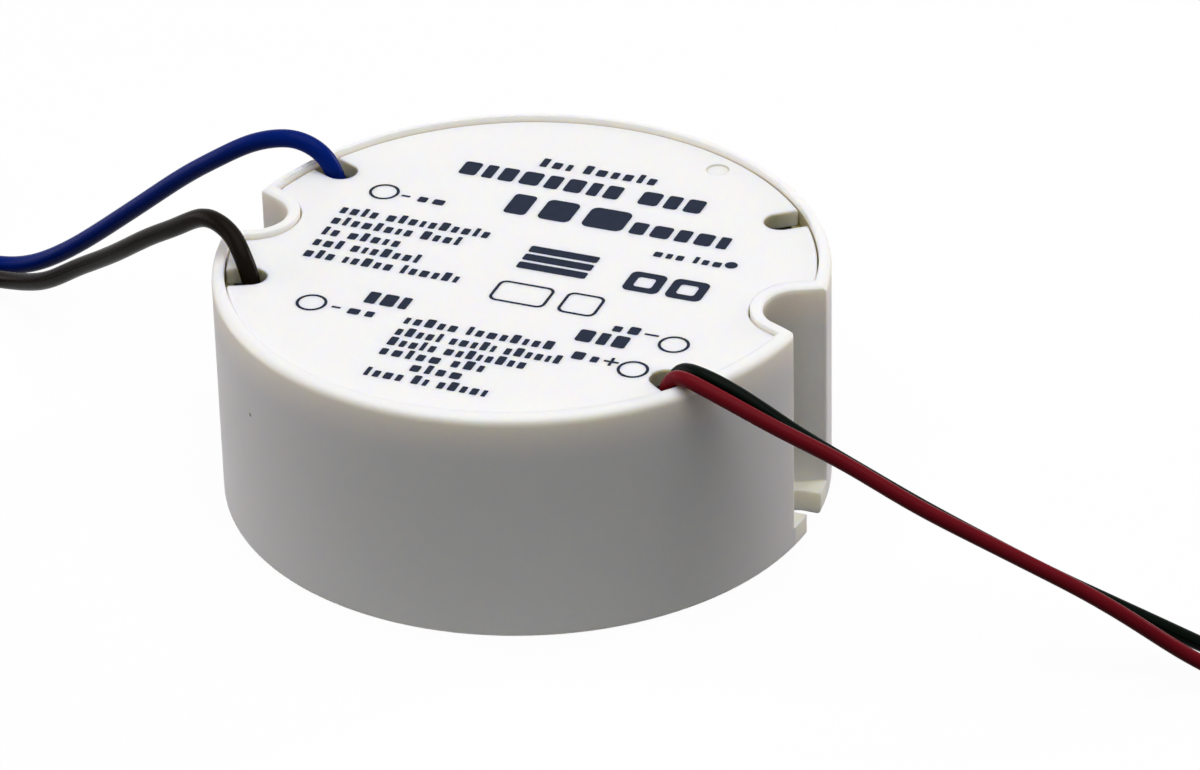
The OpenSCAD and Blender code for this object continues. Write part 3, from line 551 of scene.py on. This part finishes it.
class LED_DRIVER_OT_stage(bpy.types.Operator):
    """Set up the camera, the pale floor and the soft studio lamps"""
    bl_idname = "led_driver.stage"
    bl_label = "Stage"

    def execute(self, context):
        stage = context.scene.led_driver_stage
        context.scene.view_settings.view_transform = "Standard"
        turn = Matrix.Rotation(stage.azimuth, 4, "Z")
        self.place_camera(context.scene, stage, turn)
        self.lay_floor(context.scene, stage, turn)
        self.fill_world(context.scene, stage)
        self.hang_softbox(turn, OVERHEAD_SOFTBOX, stage.key_power, linear("#ffffff"))
        self.hang_softbox(turn, LEFT_SOFTBOX, stage.left_power, stage.side_tint)
        self.hang_softbox(turn, RIGHT_SOFTBOX, stage.right_power, stage.side_tint)
        return {"FINISHED"}

    def place_camera(self, scene, stage, turn):
        """A long lens that looks down on the driver, with a little roll."""
        lens = bpy.data.cameras.new("photo_camera")
        lens.sensor_fit = "HORIZONTAL"
        lens.sensor_width = 36
        lens.lens = stage.lens
        lens.clip_start = 0.01
        camera = bpy.data.objects.new("photo_camera", lens)
        scene.collection.objects.link(camera)
        tilt = Matrix.Rotation(math.pi / 2 - stage.pitch, 4, "X")
        look = turn @ tilt @ Matrix.Rotation(stage.roll, 4, "Z")
        eye = Vector(stage.target) + look.to_3x3() @ Vector((0, 0, stage.distance))
        camera.matrix_world = Matrix.Translation(eye) @ look
        scene.camera = camera

    def seen_rays(self, tree):
        """1 for camera, glossy and transmission rays and 0 for the light that reaches the driver."""
        path = add(tree, "ShaderNodeLightPath").outputs
        mirrored = add(tree, "ShaderNodeMath", {0: path["Is Glossy Ray"], 1: path["Is Transmission Ray"]})
        both = {0: path["Is Camera Ray"], 1: mirrored.outputs[0]}
        return add(tree, "ShaderNodeMath", both, use_clamp=True).outputs[0]

    def lay_floor(self, scene, stage, turn):
        """A wide white floor that keeps a soft shadow and lights the driver most from just before it."""
        half = stage.floor_size / 2
        mesh = bpy.data.meshes.new("floor")
        corners = [(-half, -half, 0), (half, -half, 0), (half, half, 0), (-half, half, 0)]
        mesh.from_pydata(corners, [], [(0, 1, 2, 3)])
        material = bpy.data.materials.new("white_paper_sweep")
        material.use_nodes = True
        material.cycles.emission_sampling = "NONE"
        tree = material.node_tree
        tree.nodes.clear()
        glow = add(tree, "ShaderNodeEmission", {"Color": linear("#ffffff"), "Strength": 1.0})
        paper = add(tree, "ShaderNodeBsdfDiffuse", {"Color": linear("#ffffff")})
        place = add(tree, "ShaderNodeTexCoord").outputs["Object"]
        middle = turn @ Vector(stage.bounce_place)
        away = add(tree, "ShaderNodeVectorMath", {0: place, 1: tuple(middle)}, operation="DISTANCE")
        fade = add(tree, "ShaderNodeMapRange", {
            "Value": away.outputs["Value"], "From Min": stage.bounce_core, "From Max": stage.bounce_reach,
        })
        patch = add(tree, "ShaderNodeMix", {
            0: fade.outputs["Result"], 6: tuple(stage.near_bounce), 7: tuple(stage.far_bounce),
        }, data_type="RGBA")
        bounce = add(tree, "ShaderNodeEmission", {"Color": patch.outputs[2], "Strength": 1.0})
        lit = add(tree, "ShaderNodeMixShader", {
            0: stage.shadow_share, 1: glow.outputs[0], 2: paper.outputs[0],
        })
        shown = add(tree, "ShaderNodeMixShader", {
            0: self.seen_rays(tree), 1: bounce.outputs[0], 2: lit.outputs[0],
        })
        add(tree, "ShaderNodeOutputMaterial", {"Surface": shown.outputs[0]})
        mesh.materials.append(material)
        floor = bpy.data.objects.new("floor", mesh)
        scene.collection.objects.link(floor)

    def fill_world(self, scene, stage):
        """White where it is seen, and a low even light elsewhere."""
        world = bpy.data.worlds.new("studio")
        world.use_nodes = True
        tree = world.node_tree
        tree.nodes.clear()
        strength = add(tree, "ShaderNodeMapRange", {
            "Value": self.seen_rays(tree), "To Min": stage.ambient, "To Max": 1.0,
        })
        sky = add(tree, "ShaderNodeBackground", {
            "Color": linear("#ffffff"), "Strength": strength.outputs["Result"],
        })
        add(tree, "ShaderNodeOutputWorld", {"Surface": sky.outputs[0]})
        scene.world = world

    def hang_softbox(self, turn, softbox, power, colour):
        """A soft rectangular lamp that faces the driver."""
        light = bpy.data.lights.new(softbox.name, "AREA")
        light.shape = "RECTANGLE"
        light.size, light.size_y = softbox.size
        light.energy = power
        light.color = colour[:3]
        lamp = bpy.data.objects.new(softbox.name, light)
        bpy.context.scene.collection.objects.link(lamp)
        lamp.visible_camera = False
        spot = turn @ Vector(softbox.place)
        aim = Vector((0, 0, LID_TOP / 2)) - spot
        lamp.matrix_world = Matrix.Translation(spot) @ aim.to_track_quat("-Z", "Y").to_matrix().to_4x4()


class LED_DRIVER_OT_leads(bpy.types.Operator):
    """Draw the four leads at their full length, each with its spare length coiled"""
    bl_idname = "led_driver.leads"
    bl_label = "Leads"

    TURN_POINTS = 24
    EASE_POINTS = 6
    # How finely a stripped end is drawn, its twist in diameters, and how much its grooves and end take off
    STRAND_POINTS = 8
    TIP_RINGS = 40
    TWIST_PITCH = 4
    GROOVE = 0.2
    END_TAPER = 0.2

    def execute(self, context):
        settings = context.scene.led_driver_leads
        strand = tinned_copper()
        tie = natural_nylon()
        for lead in LEADS:
            colour = getattr(settings, lead.colour)
            insulation = extruded_pvc(lead.colour + "_pvc_insulation", tuple(colour))
            coil = Coil(lead, settings)
            wire = self.draw_wire(lead, coil, insulation)
            tip = self.twist_tip(lead, coil, settings, strand)
            dress(lead.colour + "_coil_tie", tie)
        return {"FINISHED"}

    def draw_wire(self, lead, coil, insulation):
        """One smooth curve along the route and round the coil, with the wire's thickness as its bevel."""
        points = [*lead.route, *coil.turns_points(self.TURN_POINTS, self.EASE_POINTS)]
        curve = bpy.data.curves.new(lead.colour + "_lead_wire", "CURVE")
        curve.dimensions = "3D"
        curve.bevel_depth = coil.diameter / 2
        curve.bevel_resolution = 7
        curve.resolution_u = 6
        curve.use_fill_caps = True
        spline = curve.splines.new("NURBS")
        spline.points.add(len(points) - 1)
        for point, place in zip(spline.points, points):
            point.co = (*place, 1)
        spline.order_u = 4
        spline.use_endpoint_u = True
        wire = add_piece(lead.colour + "_lead_wire", curve, insulation)
        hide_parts(lead.colour + "_lead", lead.colour + "_lead_coil")
        return wire

    def twist_tip(self, lead, coil, settings, strand):
        """The stripped end: strands twisted together and tinned, swept along the end of the coil."""
        around = self.STRAND_POINTS * settings.strands
        radius = coil.tip_diameter / 2
        twist_pitch = self.TWIST_PITCH * coil.tip_diameter
        shape = bmesh.new()
        rings = []
        for i in range(self.TIP_RINGS + 1):
            run = settings.tip_length * i / self.TIP_RINGS
            middle, outward = coil.tip_frame(run)
            ring = []
            for k in range(around):
                angle = 2 * math.pi * k / around
                lobe = abs(math.sin(settings.strands / 2 * (angle - 2 * math.pi * run / twist_pitch)))
                reach = radius * (1 - self.GROOVE + self.GROOVE * lobe)
                if i == self.TIP_RINGS:
                    reach *= 1 - self.END_TAPER
                offset = outward * math.cos(angle) + Vector((0, 0, math.sin(angle)))
                ring.append(shape.verts.new(middle + offset * reach))
            rings.append(ring)
        for low, high in zip(rings, rings[1:]):
            for k in range(around):
                shape.faces.new((low[k], low[k - 1], high[k - 1], high[k]))
        shape.faces.new(rings[0])
        shape.faces.new(rings[-1])
        mesh = mesh_from(lead.colour + "_stripped_end", shape, smooth=True)
        tip = add_piece(lead.colour + "_stripped_end", mesh, strand)
        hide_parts(lead.colour + "_lead_tip")
        return tip


class Coil:
    """The flat coil at the end of one lead, worked out from its CAD solid."""

    def __init__(self, lead, settings):
        low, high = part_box(lead.colour + "_lead_coil")
        self.centre = (low + high) / 2
        self.gap = settings.turn_gap
        self.diameter = getattr(settings, lead.kind + "_diameter")
        self.turns = getattr(settings, lead.kind + "_turns")
        self.tip_diameter = getattr(settings, lead.kind + "_tip")
        self.height = low.z + self.diameter / 2
        self.radius = (high.x - low.x) / 2 - self.diameter / 2 - self.gap
        self.pitch = self.diameter + self.gap
        inner = self.radius - self.turns * self.pitch - self.diameter / 2 - self.gap
        self.tip_radius = inner - self.tip_diameter / 2 - self.gap
        self.entry = math.radians(lead.entry)
        self.sense = lead.sense

    def point(self, radius, angle):
        """A point of the coil at a radius and an angle from its centre."""
        return Vector((
            self.centre.x + radius * math.cos(angle), self.centre.y + radius * math.sin(angle), self.height
        ))

    def angle(self, turns):
        """The angle reached after a number of turns."""
        return self.entry + self.sense * 2 * math.pi * turns

    def turns_points(self, turn_points, ease_points):
        """Control points round the coil, whose last ones ease in to the radius of the stripped end."""
        step = 2 * math.pi / turn_points
        # A cubic curve cuts the corners of its control points, so they stand this much further out
        widen = 3 / (2 + math.cos(step))
        count = round(self.turns * turn_points)
        points = []
        for i in range(count + 1):
            turns = self.turns * i / count
            ease = max(0.0, (i - count + ease_points) / ease_points)
            ease = ease * ease * (3 - 2 * ease)
            radius = (self.radius - self.pitch * turns) * (1 - ease) + self.tip_radius * ease
            points.append(self.point(radius * (widen if i < count else 1), self.angle(turns)))
        return points

    def tip_frame(self, run):
        """The middle of the stripped end at a distance along it, and the way out from the coil's centre."""
        angle = self.angle(self.turns) + self.sense * run / self.tip_radius
        return self.point(self.tip_radius, angle), Vector((math.cos(angle), math.sin(angle), 0))


class LED_DRIVER_OT_case(bpy.types.Operator):
    """Finish the moulded housing and its lid"""
    bl_idname = "led_driver.case"
    bl_label = "Housing and lid"

    def execute(self, context):
        case = context.scene.led_driver_case
        dress("housing", moulded_wall(case))
        lid, *_ = moulded_polycarbonate("moulded_polycarbonate_lid", tuple(case.lid_colour), case)
        dress("lid", lid)
        return {"FINISHED"}


class PrintRow(NamedTuple):
    """A row of plain blocks in a few groups: its ends, foot, height and the blocks in each group."""
    start: float
    end: float
    foot: float
    height: float
    groups: tuple


# Places on the lid in millimetres, along and across the line between the two notches
PRINT_ROWS = (
    PrintRow(-4.8, 5.8, 16.0, 1.5, (3, 6)),
    PrintRow(-11.0, 11.2, 12.6, 2.25, (8, 3)),
    PrintRow(-4.8, 6.0, 7.5, 3.4, (3,)),
    PrintRow(6.6, 15.4, 7.6, 2.0, (5,)),
    PrintRow(10.0, 16.0, 4.6, 1.1, (3, 3)),
    PrintRow(-17.9, -4.3, 2.8, 1.4, (4, 10)),
    PrintRow(-17.9, -6.2, 0.9, 1.4, (8, 4)),
    PrintRow(-17.9, -10.9, -1.1, 1.4, (2, 5)),
    PrintRow(-17.9, -8.3, -3.0, 1.4, (3, 7)),
    PrintRow(-17.9, -3.9, -5.0, 1.4, (3, 5, 6)),
    PrintRow(-10.0, -6.2, -10.5, 1.9, (3,)),
    PrintRow(8.8, 13.2, -10.5, 1.9, (3,)),
    PrintRow(-5.5, 7.6, -12.6, 1.35, (5, 8)),
    PrintRow(-5.5, 9.0, -14.5, 1.35, (5, 5, 6)),
    PrintRow(-5.5, 6.6, -16.2, 1.35, (5, 8)),
    PrintRow(-5.5, 3.6, -17.8, 1.35, (5, 3)),
    PrintRow(-2.1, 2.3, -19.5, 1.35, (4,)),
    PrintRow(-5.4, 5.3, -21.3, 1.35, (4, 2, 5)),
    PrintRow(-12.4, -10.0, 6.8, 1.2, (2,)),
    PrintRow(-10.6, -8.3, -12.6, 1.2, (2,)),
    PrintRow(11.2, 13.5, -8.1, 1.2, (2,)),
    PrintRow(9.6, 11.9, -13.3, 1.2, (2,)),
)
LEAD_RINGS = ((-15.65, 7.45), (-14.0, -11.95), (16.85, -8.5), (15.1, -13.3))
TEMPERATURE_POINT = (16.8, 5.3)
TEMPERATURE_POINT_RADIUS = 0.55
# Each dash by its middle and half its length, the last of which is part of the plus sign
DASHES = ((-13.6, 7.35, 0.4), (-11.75, -12.0, 0.4), (14.6, -7.65, 0.62), (13.0, -12.75, 0.65))
# Feet of the bars in the middle of the lid, and their ends and height
BAR_FEET = (1.9, 0.5, -0.9)
BAR_LEFT = -0.2
BAR_RIGHT = 6.0
BAR_HEIGHT = 1.05
# Left sides of the thick frames, their foot, side and line, and the corners of the two outlines
THICK_FRAMES = (9.4, 13.2)
THICK_FOOT = -1.4
THICK_SIDE = 3.2
THICK_LINE = 0.8
THICK_CORNERS = (0.6, 0.3)
# Left side and width of each thin frame, their foot and head, and the corners of the two outlines
THIN_FRAMES = ((-0.5, 5.0), (5.6, 3.4))
THIN_FOOT = -6.6
THIN_HEAD = -3.2
THIN_CORNERS = (0.7, 0.5)


class LED_DRIVER_OT_print(bpy.types.Operator):
    """Print the rings, signs and rows of blocks on the lid"""
    bl_idname = "led_driver.print"
    bl_label = "Lid print"

    # Widths that the blocks of a row take in turn and the share of the row's height that they reach
    BLOCK_WIDTHS = (0.5, 0.62, 0.38, 0.55, 0.7)
    BLOCK_HEIGHTS = (1.0, 0.74, 0.74, 1.0, 0.74, 0.74, 0.74)
    BLOCK_GAP = 0.36
    TALL_GAP = 0.2
    GROUP_GAP = 0.5
    TALL_ROW = 1.6
    ROUND_POINTS = 40
    CORNER_STEPS = 4
    CORNER_SHARE = 0.2

    def execute(self, context):
        self.settings = context.scene.led_driver_print
        self.line = self.settings.line_width / MM
        self.shape = bmesh.new()
        for index, row in enumerate(PRINT_ROWS):
            self.print_row(row, index)
        ring = self.settings.ring_radius / MM
        for middle in LEAD_RINGS:
            self.band(self.disc(middle, ring + self.line / 2), self.disc(middle, ring - self.line / 2))
        self.plate(self.disc(TEMPERATURE_POINT, TEMPERATURE_POINT_RADIUS))
        self.print_signs()
        self.print_fields()
        mesh = mesh_from("lid_print", self.shape)
        add_piece("lid_print", mesh, printing_ink(tuple(self.settings.ink)))
        return {"FINISHED"}

    def print_row(self, row, index):
        """Solid blocks of a few widths and two heights, spread so that the row fills its length."""
        blocks = sum(row.groups)
        tall = row.height >= self.TALL_ROW
        gap = self.TALL_GAP if tall else self.BLOCK_GAP
        widths = [self.BLOCK_WIDTHS[(index + k) % len(self.BLOCK_WIDTHS)] for k in range(blocks)]
        spaces = gap * (blocks - 1) + self.GROUP_GAP * (len(row.groups) - 1)
        unit = (row.end - row.start) / (sum(widths) + spaces)
        left = row.start
        count = 0
        for group in row.groups:
            for _ in range(group):
                reach = self.BLOCK_HEIGHTS[(index + count) % len(self.BLOCK_HEIGHTS)]
                high = row.height * (1.0 if tall else reach)
                right = left + unit * widths[count]
                self.plate(self.block(left, right, row.foot, row.foot + high))
                left = right + unit * gap
                count += 1
            left += unit * self.GROUP_GAP

    def print_signs(self):
        """A dash before each mains ring's row, and the two polarity signs at the load leads."""
        half = self.line / 2
        for x, y, reach in DASHES:
            self.plate(self.block(x - reach, x + reach, y - half, y + half))
        x, y, reach = DASHES[-1]
        for low, high in ((-reach, -half), (half, reach)):
            self.plate(self.block(x - half, x + half, y + low, y + high))

    def print_fields(self):
        """A blank group of bars and frames in the middle of the lid."""
        for foot in BAR_FEET:
            self.plate(self.block(BAR_LEFT, BAR_RIGHT, foot, foot + BAR_HEIGHT))
        for left in THICK_FRAMES:
            sides = (left, left + THICK_SIDE, THICK_FOOT, THICK_FOOT + THICK_SIDE)
            self.frame_line(sides, THICK_LINE, THICK_CORNERS)
        for left, width in THIN_FRAMES:
            self.frame_line((left, left + width, THIN_FOOT, THIN_HEAD), self.line, THIN_CORNERS)

    def frame_line(self, sides, line, corners):
        """A frame of one line's width inside its four sides: left, right, foot and head."""
        left, right, foot, head = sides
        outer = self.block(left, right, foot, head, corners[0])
        inner = self.block(left + line, right - line, foot + line, head - line, corners[1])
        self.band(outer, inner)

    def block(self, left, right, foot, head, corner=None):
        """The outline of a block with rounded corners."""
        if corner is None:
            corner = self.CORNER_SHARE * min(right - left, head - foot)
        points = []
        for quarter, (x, y) in enumerate(((right, head), (left, head), (left, foot), (right, foot))):
            inset_x = -corner if x == right else corner
            inset_y = -corner if y == head else corner
            for k in range(self.CORNER_STEPS + 1):
                angle = math.pi / 2 * (quarter + k / self.CORNER_STEPS)
                points.append((
                    x + inset_x + corner * math.cos(angle), y + inset_y + corner * math.sin(angle)
                ))
        return points

    def disc(self, middle, radius):
        """The outline of a disc."""
        angles = [2 * math.pi * k / self.ROUND_POINTS for k in range(self.ROUND_POINTS)]
        return [(middle[0] + radius * math.cos(a), middle[1] + radius * math.sin(a)) for a in angles]

    def lift(self, outline):
        """The foot and the head of an outline, as vertices just inside the lid and on top of the ink."""
        depth = self.settings.ink_height
        return [
            [self.shape.verts.new((x * MM, y * MM, z)) for x, y in outline]
            for z in (LID_TOP - depth, LID_TOP + depth)
        ]

    def wall(self, foot, head):
        """The thin edge of the ink."""
        for k in range(len(foot)):
            self.shape.faces.new((foot[k - 1], foot[k], head[k], head[k - 1]))

    def plate(self, outline):
        """A closed patch of ink."""
        foot, head = self.lift(outline)
        self.shape.faces.new(foot)
        self.shape.faces.new(head)
        self.wall(foot, head)

    def band(self, outer, inner):
        """A closed line of ink between two outlines of as many points."""
        outer_foot, outer_head = self.lift(outer)
        inner_foot, inner_head = self.lift(inner)
        self.wall(outer_foot, outer_head)
        self.wall(inner_foot, inner_head)
        self.wall(outer_foot, inner_foot)
        self.wall(outer_head, inner_head)


class LED_DRIVER_OT_board(bpy.types.Operator):
    """Finish the circuit board, its solder and its surface-mounted parts"""
    bl_idname = "led_driver.board"
    bl_label = "Circuit board"

    def execute(self, context):
        dress("circuit_board", solder_mask_board())
        # Solder that froze bright, with a dull skin in places
        dress("solder_joints", plain_finish(
            "bright_solder", "#c9c9c6", "#b5b5b2", metallic=1.0, patch_mm=0.5, gloss=(0.18, 0.34)
        ))
        # Fine epoxy from a polished mould, matt where the mould was eroded
        epoxy = plain_finish(
            "moulded_epoxy", "#1c1c1d", "#262627", ior=1.55, gloss=(0.5, 0.65), grain_mm=0.12
        )
        for node in (
            "controller_chip", "power_transistor", "bridge_rectifier", "output_diode", "chip_resistors"
        ):
            dress(node, epoxy)
        # Fired ceramic: tan and dull
        dress("chip_capacitors", plain_finish(
            "fired_ceramic", "#a98660", "#97764f", patch_mm=0.6, gloss=(0.4, 0.55)
        ))
        return {"FINISHED"}


class LED_DRIVER_OT_windings(bpy.types.Operator):
    """Finish the transformer and the input choke"""
    bl_idname = "led_driver.windings"
    bl_label = "Transformer and choke"

    def execute(self, context):
        # Ferrite is pressed and fired: dark grey, matt and slightly gritty
        ferrite = plain_finish(
            "sintered_ferrite", "#2b2b2e", "#38383b", ior=2.0, gloss=(0.55, 0.7), grain_mm=0.15,
            grain_depth_mm=0.015,
        )
        dress("transformer_core", ferrite)
        dress("choke_core", ferrite)
        # Phenolic: black-brown, with a dull shine from the mould
        dress("transformer_bobbin", plain_finish("moulded_phenolic", "#1d1a18", "#28231f", ior=1.6))
        # Polyester tape over the turns: yellow and glossy
        dress("transformer_winding", plain_finish(
            "polyester_tape", "#d7ab2b", "#c4961f", ior=1.64, patch_mm=3, gloss=(0.2, 0.3), grain_mm=0.5
        ))
        # Enamel over copper: a deep orange metal
        dress("choke_winding", plain_finish(
            "enamelled_copper", "#b4622f", "#9c4f22", metallic=1.0, patch_mm=0.4, gloss=(0.25, 0.36),
            grain_mm=0.3, grain_depth_mm=0.03,
        ))
        return {"FINISHED"}


class LED_DRIVER_OT_capacitors(bpy.types.Operator):
    """Finish the capacitors, the varistor and the fusible resistor"""
    bl_idname = "led_driver.capacitors"
    bl_label = "Capacitors and leaded parts"

    def execute(self, context):
        # Shrunk sleeves are smooth and glossy over the can
        for node, name, dark, light in (
            ("bulk_capacitor", "charcoal_shrink_sleeve", "#23292b", "#2d3437"),
            ("output_capacitor", "navy_shrink_sleeve", "#1d2450", "#28306a"),
        ):
            dress(node, plain_finish(
                name, dark, light, ior=1.53, patch_mm=4, gloss=(0.2, 0.3), grain_mm=0.8
            ))
        # A potted box: smooth yellow polyester
        dress("film_capacitor", plain_finish(
            "potted_polyester_box", "#d3aa2a", "#c69c20", ior=1.56, patch_mm=5, gloss=(0.25, 0.35)
        ))
        # Dipped epoxy runs thick at the edges and is left slightly wavy
        coating = plain_finish(
            "dipped_blue_epoxy", "#2a62a8", "#23559a", ior=1.55, gloss=(0.25, 0.4), grain_mm=1.2,
            grain_depth_mm=0.03,
        )
        dress("varistor", coating)
        dress("safety_capacitor", coating)
        # Flameproof lacquer on a ceramic rod: dull grey-green
        dress("fusible_resistor", plain_finish(
            "flameproof_lacquer", "#8fa491", "#7f9482", gloss=(0.55, 0.7)
        ))
        return {"FINISHED"}


class LED_DRIVER_PT_panel(bpy.types.Panel):
    """Steps and settings of the LED driver's looks"""
    bl_idname = "LED_DRIVER_PT_panel"
    bl_label = "LED driver"
    bl_space_type = "VIEW_3D"
    bl_region_type = "UI"
    bl_category = "LED driver"

    def draw(self, context):
        for step in STEPS:
            self.layout.operator(step.bl_idname)
        for name in SETTINGS:
            settings = getattr(context.scene, name)
            box = self.layout.box()
            for field in settings.bl_rna.properties:
                if field.identifier not in ("rna_type", "name"):
                    box.prop(settings, field.identifier)


SETTINGS = {
    "led_driver_stage": StageSettings,
    "led_driver_leads": LeadSettings,
    "led_driver_case": CaseSettings,
    "led_driver_print": PrintSettings,
}
STEPS = (
    LED_DRIVER_OT_stage,
    LED_DRIVER_OT_leads,
    LED_DRIVER_OT_case,
    LED_DRIVER_OT_print,
    LED_DRIVER_OT_board,
    LED_DRIVER_OT_windings,
    LED_DRIVER_OT_capacitors,
)


def register():
    """Makes the settings, the steps and the panel known to Blender."""
    for name, kind in SETTINGS.items():
        bpy.utils.register_class(kind)
        setattr(bpy.types.Scene, name, PointerProperty(type=kind))
    for kind in (*STEPS, LED_DRIVER_PT_panel):
        bpy.utils.register_class(kind)


def unregister():
    """Takes the panel, the steps and the settings away again."""
    for kind in (LED_DRIVER_PT_panel, *reversed(STEPS)):
        bpy.utils.unregister_class(kind)
    for name, kind in SETTINGS.items():
        delattr(bpy.types.Scene, name)
        bpy.utils.unregister_class(kind)


def main():
    """Builds the looks step by step."""
    register()
    bpy.ops.led_driver.stage()
    bpy.ops.led_driver.leads()
    bpy.ops.led_driver.case()
    bpy.ops.led_driver.print()
    bpy.ops.led_driver.board()
    bpy.ops.led_driver.windings()
    bpy.ops.led_driver.capacitors()
    bpy.context.view_layer.update()


if __name__ == "__main__":
    main()
